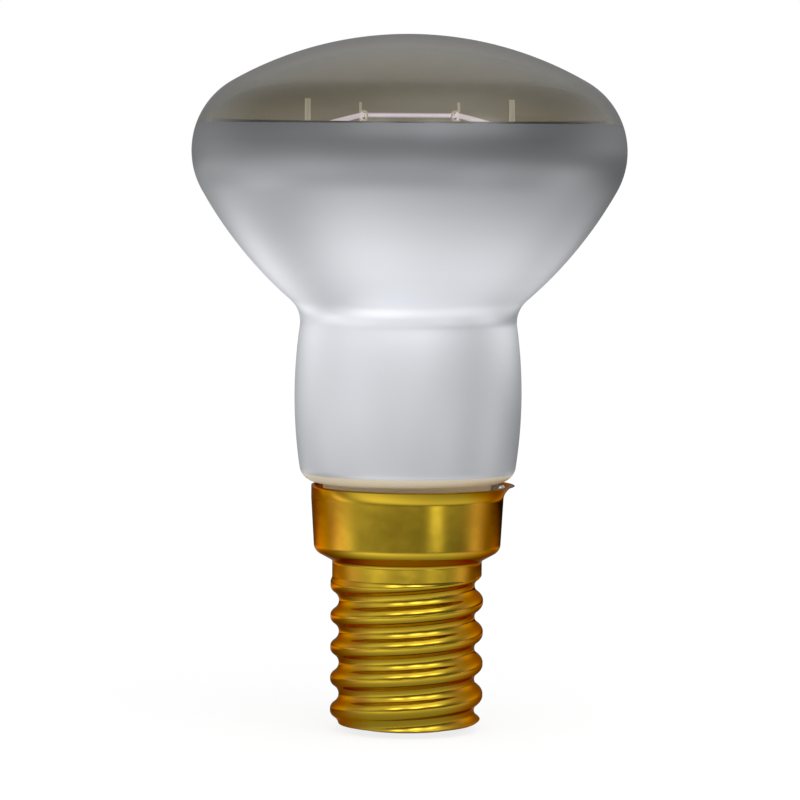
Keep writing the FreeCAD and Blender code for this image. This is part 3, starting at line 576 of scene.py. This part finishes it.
def bulb_outline(depth):
    """Outline of the glass from crown to seal, sunk by a depth, as tangent arcs."""
    glass = settings("bulb_glass")
    crown = top_of("glass_envelope")
    seal = foot_of("glass_envelope")
    ledge = top_of("cap_shell") + glass.ledge_gap
    waist = crown - glass.waist_drop
    corner_radius = glass.corner_inside + glass.wall
    corner_at = (glass.spigot_radius + glass.spigot_fillet + glass.ledge_width,
                 ledge + corner_radius)
    # the neck swells from its lower corner to its widest ring
    step = glass.neck_radius - corner_at[0]
    fall = waist - glass.neck_fall - corner_at[1]
    neck_curve = (step ** 2 + fall ** 2 - corner_radius ** 2) / (step - corner_radius) / 2
    dome_at = (0.0, crown - glass.dome_radius)
    shoulder_x = glass.bulb_radius - glass.shoulder_radius
    rise = math.sqrt((glass.dome_radius - glass.shoulder_radius) ** 2 - shoulder_x ** 2)
    shoulder_at = (shoulder_x, dome_at[1] + rise)
    neck_at = (glass.neck_radius - neck_curve, waist - glass.neck_fall)
    reach = neck_curve + glass.waist_radius
    waist_at = (neck_at[0] + math.sqrt(reach ** 2 - glass.neck_fall ** 2), waist)
    flank_at = crossing(shoulder_at, glass.flank_radius - glass.shoulder_radius,
                        waist_at, glass.flank_radius + glass.waist_radius)
    fillet_at = (glass.spigot_radius + glass.spigot_fillet, ledge - glass.spigot_fillet)
    high = heading(dome_at, shoulder_at)
    wide = heading(flank_at, shoulder_at)
    low = heading(flank_at, waist_at)
    slim = heading(neck_at, waist_at)
    foot = heading(neck_at, corner_at)
    quarter = math.pi / 2
    points = [(0.0, crown - depth)]
    for name, centre, radius, first, last in (
            ("dome", dome_at, glass.dome_radius - depth, quarter, high),
            ("shoulder", shoulder_at, glass.shoulder_radius - depth, high, wide),
            ("flank", flank_at, glass.flank_radius - depth, wide, low),
            ("waist", waist_at, glass.waist_radius + depth, low + math.pi, slim + math.pi),
            ("neck", neck_at, neck_curve - depth, slim, foot),
            ("corner", corner_at, corner_radius - depth, foot, -quarter)):
        points += arc_points(centre, radius, first, last, RUNS[name])[1:]
    points += arc_points(fillet_at, glass.spigot_fillet + depth, quarter, math.pi, RUNS["fillet"])
    points += [(glass.spigot_radius - depth, (ledge + seal) / 2),
               (glass.spigot_radius - depth, seal)]
    return points


def at_height(first, last, level):
    """The point of a run where it passes a height."""
    share = (level - first[1]) / (last[1] - first[1])
    return (first[0] + (last[0] - first[0]) * share, level)


def between(points, low, high):
    """The stretch of an outline that lies between two heights, with exact ends."""
    stretch = []
    for first, last in zip(points, points[1:]):
        for level in (high, low):
            if (first[1] - level) * (last[1] - level) < 0:
                stretch.append(at_height(first, last, level))
        if low < last[1] < high:
            stretch.append(last)
    return stretch


def marked(points, *levels):
    """Add a point to an outline where it passes each height."""
    result = [points[0]]
    for last in points[1:]:
        first = result[-1]
        for level in sorted(levels, reverse=True):
            if last[1] < level < first[1]:
                result.append(at_height(first, last, level))
        result.append(last)
    return result


def groove_radius(offset, depth):
    """Radius of the rolled thread at a distance from the middle of its groove."""
    cap = settings("bulb_cap")
    height = cap.crest - cap.root
    knuckle = (height ** 2 / 4 + (cap.pitch / 4) ** 2) / height
    half = cap.pitch / 2
    offset = abs(offset)
    if offset > half:
        return math.inf
    hollow = knuckle + depth
    crest = knuckle - depth
    if offset <= half * hollow / (hollow + crest):
        return cap.root + knuckle - math.sqrt(hollow ** 2 - offset ** 2)
    return cap.crest - knuckle + math.sqrt(crest ** 2 - (half - offset) ** 2)


def cap_radius(angle, height, radius, depth):
    """Radius of the cap at a place: its blank, with the thread rolled in."""
    cap = settings("bulb_cap")
    if height > cap.band_step + cap.pitch:
        return radius
    turn = (math.pi / 2 - angle) % math.tau / math.tau
    upper = cap.thread_start - cap.pitch * turn
    below = round((upper - height) / cap.pitch)
    if below >= 0:
        radius = min(radius, groove_radius(height - upper + cap.pitch * below, depth))
    # past its upper end the groove runs out of the blank on a circle about its own axis
    past = angle - math.pi / 2
    if 0 < past < math.pi / 2:
        reach = cap.root + cap.fade_offset
        side = cap.fade_offset * math.cos(past)
        out = -side + math.sqrt(side ** 2 + reach ** 2 - cap.fade_offset ** 2) - cap.root
        radius = min(radius, groove_radius(height - cap.thread_start, depth) + max(out, 0.0))
    return radius


def cap_blank(depth):
    """Outline of the cap's blank from its mouth to the lip, sunk by a depth."""
    cap = settings("bulb_cap")
    across = cap.collar_foot - cap.band_radius
    lean = (math.hypot(cap.shoulder_rise, across) - cap.shoulder_rise) / across * depth
    crest = cap.crest - cap.relief - depth
    return divided(rounded([
        (cap.mouth, cap.bottom + depth),
        (crest, cap.bottom + depth, cap.corner - depth),
        (crest, cap.band_step - lean),
        (cap.band_radius - depth, cap.band_step + cap.band_taper - lean),
        (cap.band_radius - depth, cap.shoulder_height + lean, cap.shoulder_fillet + depth),
        (cap.collar_foot - depth, cap.shoulder_height + cap.shoulder_rise + lean,
         cap.collar_fillet - depth),
        (cap.collar_radius - depth, cap.lip_height),
    ]), CAP_RUN)


def cap_rings(depth):
    """Rings of points over the cap's skin at a depth, thread and pushed-out lip included."""
    cap = settings("bulb_cap")
    rings = []
    for radius, height in cap_blank(depth):
        ring = []
        for step in range(ROUND):
            angle = math.tau * step / ROUND
            here = cap_radius(angle, height, radius, depth)
            ring.append((here * math.cos(angle), here * math.sin(angle), height))
        rings.append(ring)
    rise = top_of("cap_shell") - cap.lip_height
    for row in range(1, RUNS["lip"] + 1):
        share = row / RUNS["lip"]
        flare = share * (LIP_FOOT_SLOPE + (1 - LIP_FOOT_SLOPE) * share)
        radius = cap.collar_radius + (cap.lip_radius - cap.collar_radius) * flare - depth
        height = cap.lip_height + rise * share
        # the rim's edge is rolled over, so it ends half a sheet below the top
        if row == RUNS["lip"]:
            height -= cap.wall / 2
        push = cap.lip_offset * flare
        ring = []
        for step in range(ROUND):
            angle = math.tau * step / ROUND
            ring.append((push * math.cos(cap.lip_side) + radius * math.cos(angle),
                         push * math.sin(cap.lip_side) + radius * math.sin(angle), height))
        rings.append(ring)
    return rings


def spline_of(points):
    """A straight-run curve through points in millimetres."""
    curve = bpy.data.curves.new("route", "CURVE")
    curve.dimensions = "3D"
    spline = curve.splines.new("POLY")
    spline.points.add(len(points) - 1)
    for mark, point in zip(spline.points, points):
        mark.co = (*[value * MM for value in point], 1.0)
    return curve


def bent(corners, radius):
    """Round every inner corner of a route in space by a bend radius."""
    points = [corners[0]]
    runs = RUNS["filament bend"]
    for before, here, after in zip(corners, corners[1:], corners[2:]):
        back = (before - here).normalized()
        onward = (after - here).normalized()
        half = back.angle(onward) / 2
        reach = radius / math.tan(half)
        middle = here + (back + onward).normalized() * (radius / math.sin(half))
        start = here + back * reach - middle
        finish = here + onward * reach - middle
        points.extend(middle + start.slerp(finish, step / runs) for step in range(runs + 1))
    return points + [corners[-1]]


class REFLECTORBULB_OT_glass(bpy.types.Operator):
    """Blow the glass envelope, one closed shell with its true wall"""

    bl_idname = "reflectorbulb.glass"
    bl_label = "Glass"

    def execute(self, context):
        glass = settings("bulb_glass")
        low, high = foot_of("mirror_coating"), top_of("mirror_coating")
        outside = marked(bulb_outline(0.0), low, high)
        outline = outside + bulb_outline(glass.wall)[::-1]

        def zone(ring):
            if ring >= len(outside) - 1:
                return INSIDE
            middle = (outline[ring][1] + outline[ring + 1][1]) / 2
            return CROWN if middle > high else SILVERED if middle > low else FOOT

        piece = lathe("blown_glass", outline,
                      # painted shade: tinted crown glass, darkening what is seen through it
                      clear_glass("shade_tinted_soda_lime_glass", glass.crown_shade_tone),
                      silvered_glass("silvered_soda_lime_glass", glass.film_tone,
                                     metallic=0.65, roughness=0.4),
                      frosted_glass(glass.foot_tone),
                      # painted shade: the inner skin's tint darkens the crown's interior
                      clear_glass("clear_soda_lime_glass", glass.skin_shade_tone, bloom=1.0), zone=zone)
        settle(piece, "glass_envelope")
        return {"FINISHED"}


class REFLECTORBULB_OT_film(bpy.types.Operator):
    """Lay the mirror film inside the flank and the neck"""

    bl_idname = "reflectorbulb.film"
    bl_label = "Mirror film"

    def execute(self, context):
        glass = settings("bulb_glass")
        low, high = foot_of("mirror_coating"), top_of("mirror_coating")
        depth = glass.wall + glass.film_gap
        outside = between(bulb_outline(depth), low, high)
        inside = between(bulb_outline(depth + glass.film_wall), low, high)
        film = silvered_glass("vapour_aluminium_film", glass.film_tone, metallic=1.0,
                              roughness=0.15)
        piece = lathe("silver_film", outside + inside[::-1], film)
        settle(piece, "mirror_coating")
        return {"FINISHED"}


class REFLECTORBULB_OT_cap(bpy.types.Operator):
    """Roll the brass shell with its thread, collar and pushed-out lip"""

    bl_idname = "reflectorbulb.cap"
    bl_label = "Cap shell"

    def execute(self, context):
        rings = cap_rings(0.0) + cap_rings(settings("bulb_cap").wall)[::-1]
        points = [spot for ring in rings for spot in ring]
        piece = mesh_object("cap_brass", points, ring_faces(len(rings)),
                            polished_brass("polished_cap_brass"))
        settle(piece, "cap_shell")
        return {"FINISHED"}


class REFLECTORBULB_OT_contact(bpy.types.Operator):
    """Finish the black glass, the contact plate and the solder under the cap"""

    bl_idname = "reflectorbulb.contact"
    bl_label = "Contact"

    def execute(self, context):
        cap = settings("bulb_cap")
        solder = tin_solder(cap.solder_tone)
        for node, material in (("cap_insulator", black_cap_glass(cap.insulator_tone)),
                               ("contact_eyelet", polished_brass("stamped_contact_brass")),
                               ("contact_solder", solder), ("side_solder", solder),
                               ("capping_cement", capping_cement())):
            finish_node(node, material)
        return {"FINISHED"}


class REFLECTORBULB_OT_mount(bpy.types.Operator):
    """Finish the stem, the glass rod and the wires"""

    bl_idname = "reflectorbulb.mount"
    bl_label = "Stem and wires"

    def execute(self, context):
        mount = settings("bulb_mount")
        pressed = stem_glass(mount.stem_tone)
        copper = drawn_wire("copper_wire", mount.copper_tone, roughness=0.25)
        nickel = drawn_wire("nickel_wire", mount.nickel_tone, roughness=0.22, painted_gleam=0.8)
        for material, nodes in (
                (pressed, ("glass_stem", "exhaust_tube", "button_rod")),
                (copper, ("seal_wire_left", "seal_wire_right", "centre_lead", "side_lead")),
                (nickel, ("inner_lead_left", "inner_lead_right", "support_wire_left",
                          "support_wire_right"))):
            for node in nodes:
                finish_node(node, material)
        return {"FINISHED"}


def coil_tree(material):
    """Geometry nodes that wind a wire round a route."""
    tree = bpy.data.node_groups.new("filament_coil", "GeometryNodeTree")
    tree.interface.new_socket("Route", in_out="INPUT", socket_type="NodeSocketGeometry")
    for name in ("Coil radius", "Wire radius", "Pitch"):
        tree.interface.new_socket(name, in_out="INPUT", socket_type="NodeSocketFloat")
    tree.interface.new_socket("Geometry", in_out="OUTPUT", socket_type="NodeSocketGeometry")
    given = add_node(tree, "NodeGroupInput").outputs
    step = add_node(tree, "ShaderNodeMath", {0: given["Pitch"], 1: COIL_POINTS},
                    operation="DIVIDE").outputs[0]
    fine = add_node(tree, "GeometryNodeResampleCurve", {"Curve": given["Route"], "Length": step},
                    mode="LENGTH")
    along = add_node(tree, "GeometryNodeSplineParameter").outputs["Length"]
    turns = add_node(tree, "ShaderNodeMath", {0: along, 1: given["Pitch"]}, operation="DIVIDE")
    angle = add_node(tree, "ShaderNodeMath", {0: turns.outputs[0], 1: math.tau},
                     operation="MULTIPLY").outputs[0]
    normal = add_node(tree, "GeometryNodeInputNormal").outputs["Normal"]
    tangent = add_node(tree, "GeometryNodeInputTangent").outputs["Tangent"]
    outward = add_node(tree, "ShaderNodeVectorRotate", {"Vector": normal, "Axis": tangent,
                                                        "Angle": angle},
                       rotation_type="AXIS_ANGLE").outputs["Vector"]
    centre_line = add_node(tree, "ShaderNodeMath", {0: given["Coil radius"],
                                                    1: given["Wire radius"]},
                           operation="SUBTRACT").outputs[0]
    offset = add_node(tree, "ShaderNodeVectorMath", {0: outward, "Scale": centre_line},
                      operation="SCALE").outputs["Vector"]
    wound = add_node(tree, "GeometryNodeSetPosition", {"Geometry": fine.outputs["Curve"],
                                                       "Offset": offset})
    section = add_node(tree, "GeometryNodeCurvePrimitiveCircle", {
        "Resolution": WIRE_SIDES, "Radius": given["Wire radius"]})
    swept = add_node(tree, "GeometryNodeCurveToMesh", {"Curve": wound.outputs["Geometry"],
                                                       "Profile Curve": section.outputs["Curve"],
                                                       "Fill Caps": True})
    smooth = add_node(tree, "GeometryNodeSetShadeSmooth", {"Geometry": swept.outputs["Mesh"]})
    real = add_node(tree, "GeometryNodeRealizeInstances", {"Geometry": smooth.outputs["Geometry"]})
    dressed = add_node(tree, "GeometryNodeSetMaterial", {"Geometry": real.outputs["Geometry"],
                                                         "Material": material})
    add_node(tree, "NodeGroupOutput", {"Geometry": dressed.outputs["Geometry"]})
    return tree


def plain_mesh(holder, name):
    """Turn an object with live modifiers into a plain mesh piece."""
    bpy.context.view_layer.update()
    seen = holder.evaluated_get(bpy.context.evaluated_depsgraph_get())
    mesh = bpy.data.meshes.new_from_object(seen)
    mesh.name = name
    piece = bpy.data.objects.new(name, mesh)
    bpy.context.scene.collection.objects.link(piece)
    holder.modifiers.clear()
    bpy.data.objects.remove(holder)
    return piece


class REFLECTORBULB_OT_filament(bpy.types.Operator):
    """Wind the tungsten coil and stretch it over the mount"""

    bl_idname = "reflectorbulb.filament"
    bl_label = "Filament"

    def execute(self, context):
        mount = settings("bulb_mount")
        tips, bends = [], []
        for side in (-1, 1):
            bend = Vector((side * mount.bend_aside, mount.bend_back, mount.bend_height))
            end = Vector((side * mount.end_aside, -mount.end_forward, mount.end_height))
            tips.append(end + (end - bend).normalized() * mount.tail)
            bends.append(bend)
        route = bent([tips[0], *bends, tips[1]], mount.bend_radius)
        holder = bpy.data.objects.new("coil_route", spline_of(route))
        bpy.context.scene.collection.objects.link(holder)
        tree = coil_tree(drawn_wire("coiled_tungsten", mount.tungsten_tone, roughness=0.3,
                                    painted_gleam=1.4))
        coil = holder.modifiers.new("coil", "NODES")
        coil.node_group = tree
        sizes = {"Coil radius": mount.filament_radius, "Wire radius": mount.filament_wire,
                 "Pitch": mount.filament_pitch}
        for item in tree.interface.items_tree:
            if item.item_type == "SOCKET" and item.name in sizes:
                coil[item.identifier] = sizes[item.name] * MM
        settle(plain_mesh(holder, "coiled_filament"), "filament")
        return {"FINISHED"}


def total(tree, values):
    """Add up several numbers."""
    result = values[0]
    for value in values[1:]:
        result = add_node(tree, "ShaderNodeMath", {0: result, 1: value},
                          operation="ADD").outputs[0]
    return result


def soft_glow(tree, closeness, sharpness, strength):
    """A soft round glow: full strength where closeness is nought, and less away from it."""
    power = add_node(tree, "ShaderNodeMath", {0: closeness, 1: sharpness}, operation="MULTIPLY")
    glow = add_node(tree, "ShaderNodeMath", {0: power.outputs[0]}, operation="EXPONENT")
    return add_node(tree, "ShaderNodeMath", {0: glow.outputs[0], 1: strength},
                    operation="MULTIPLY").outputs[0]


def direction(azimuth, elevation):
    """A way to look, from the bulb. Azimuth 0 is the camera's side, and 90 its right."""
    side, lift = math.radians(azimuth), math.radians(elevation)
    return Vector((math.sin(side) * math.cos(lift), -math.cos(side) * math.cos(lift),
                   math.sin(lift)))


def backdrop_rays(tree):
    """One for rays that see the plain white behind the bulb, straight or through its glass."""
    path = add_node(tree, "ShaderNodeLightPath").outputs
    # a depth under a half means that no mirror lies on the way
    straight = add_node(tree, "ShaderNodeMath", {0: path["Glossy Depth"], 1: 0.5},
                        operation="LESS_THAN").outputs[0]
    through = add_node(tree, "ShaderNodeMath", {0: path["Is Transmission Ray"], 1: straight},
                       operation="MULTIPLY").outputs[0]
    return add_node(tree, "ShaderNodeMath", {0: path["Is Camera Ray"], 1: through},
                    operation="MAXIMUM").outputs[0]


def studio_world():
    """Studio light as soft round glows, with plain white behind the bulb."""
    world = bpy.data.worlds.new("white_studio")
    bpy.context.scene.world = world
    world.use_nodes = True
    tree = world.node_tree
    tree.nodes.clear()
    way = add_node(tree, "ShaderNodeTexCoord").outputs["Generated"]
    glows = []
    for azimuth, elevation, sharpness, strength in GLOWS:
        facing = add_node(tree, "ShaderNodeVectorMath", {0: way, 1: direction(azimuth, elevation)},
                          operation="DOT_PRODUCT").outputs["Value"]
        short = add_node(tree, "ShaderNodeMath", {0: facing, 1: 1.0}, operation="SUBTRACT")
        glows.append(soft_glow(tree, short.outputs[0], sharpness, strength))
    light = add_node(tree, "ShaderNodeBackground", {"Color": WHITE,
                                                    "Strength": total(tree, glows)})
    white = add_node(tree, "ShaderNodeBackground", {"Color": WHITE, "Strength": 1.0})
    mixed = add_node(tree, "ShaderNodeMixShader", {"Fac": backdrop_rays(tree),
                                                   1: light.outputs["Background"],
                                                   2: white.outputs["Background"]})
    add_node(tree, "ShaderNodeOutputWorld", {"Surface": mixed.outputs["Shader"]})


def pale_floor(colour):
    """Seamless white paper under pools of light, with the bulb's soft shadow on it."""
    material = bpy.data.materials.new("seamless_paper")
    material.use_nodes = True
    tree = material.node_tree
    tree.nodes.clear()
    spot = object_space(tree)
    pools = []
    for radius, azimuth, spread, strength in POOLS:
        away = add_node(tree, "ShaderNodeVectorMath",
                        {0: spot, 1: direction(azimuth, 0.0) * radius * MM},
                        operation="DISTANCE").outputs["Value"]
        square = add_node(tree, "ShaderNodeMath", {0: away, 1: 2.0}, operation="POWER").outputs[0]
        pools.append(soft_glow(tree, square, -0.5 / (spread * MM) ** 2, strength))
    lit = add_node(tree, "ShaderNodeEmission", {"Strength": total(tree, pools)})
    paper = add_node(tree, "ShaderNodeBsdfDiffuse", {"Color": opaque((PAPER_SHARE,) * 3)})
    glow = add_node(tree, "ShaderNodeEmission", {"Color": opaque(colour),
                                                 "Strength": PAPER_GLOW})
    shown = add_node(tree, "ShaderNodeAddShader", {0: paper.outputs["BSDF"],
                                                   1: glow.outputs["Emission"]})
    mixed = add_node(tree, "ShaderNodeMixShader", {"Fac": backdrop_rays(tree),
                                                   1: lit.outputs["Emission"],
                                                   2: shown.outputs["Shader"]})
    add_node(tree, "ShaderNodeOutputMaterial", {"Surface": mixed.outputs["Shader"]})
    return material


class REFLECTORBULB_OT_stage(bpy.types.Operator):
    """Set the floor, the lamps and the camera"""

    bl_idname = "reflectorbulb.stage"
    bl_label = "Stage"

    def execute(self, context):
        stage = settings("bulb_stage")
        corners = [(x * FLOOR_REACH, y * FLOOR_REACH, 0)
                   for x, y in ((-1, -1), (1, -1), (1, 1), (-1, 1))]
        floor = mesh_object("floor", corners, [(0, 1, 2, 3)], pale_floor(stage.floor_tone))
        studio_world()
        lens = bpy.data.cameras.new("camera")
        lens.lens = stage.focal
        lens.sensor_width = 36.0
        lens.clip_start = 0.01
        camera = bpy.data.objects.new("camera", lens)
        place = Matrix.Translation(Vector((-stage.aside, -stage.distance, stage.height)) * MM)
        camera.matrix_world = (place @ Matrix.Rotation(math.pi / 2 - stage.pitch, 4, "X")
                               @ Matrix.Rotation(stage.roll, 4, "Z"))
        bpy.context.scene.collection.objects.link(camera)
        bpy.context.scene.camera = camera
        view = bpy.context.scene.view_settings
        view.view_transform = "Standard"
        return {"FINISHED"}


class REFLECTORBULB_PT_panel(bpy.types.Panel):
    """Buttons and settings of the bulb"""

    bl_idname = "REFLECTORBULB_PT_panel"
    bl_label = "Reflector bulb"
    bl_space_type = "VIEW_3D"
    bl_region_type = "UI"
    bl_category = "Bulb"

    def draw(self, context):
        for operator in OPERATORS:
            self.layout.operator(operator.bl_idname)
        for name in SETTINGS:
            box = self.layout.box()
            for field in settings(name).bl_rna.properties.keys():
                if field not in {"rna_type", "name"}:
                    box.prop(settings(name), field)


OPERATORS = (REFLECTORBULB_OT_glass, REFLECTORBULB_OT_film, REFLECTORBULB_OT_cap,
             REFLECTORBULB_OT_contact, REFLECTORBULB_OT_mount, REFLECTORBULB_OT_filament,
             REFLECTORBULB_OT_stage)
SETTINGS = {"bulb_glass": BulbGlassSettings, "bulb_cap": CapSettings,
            "bulb_mount": MountSettings, "bulb_stage": StageSettings}
CLASSES = (*SETTINGS.values(), *OPERATORS, REFLECTORBULB_PT_panel)


def register():
    """Make the settings, the operators and the panel known to Blender."""
    for item in CLASSES:
        bpy.utils.register_class(item)
    for name, group in SETTINGS.items():
        setattr(bpy.types.Scene, name, bpy.props.PointerProperty(type=group))


def unregister():
    """Take them out again."""
    for name in SETTINGS:
        delattr(bpy.types.Scene, name)
    for item in reversed(CLASSES):
        bpy.utils.unregister_class(item)


def main():
    """Build the bulb on its stage."""
    register()
    for operator in OPERATORS:
        group, name = operator.bl_idname.split(".")
        getattr(getattr(bpy.ops, group), name)()


if __name__ == "__main__":
    main()
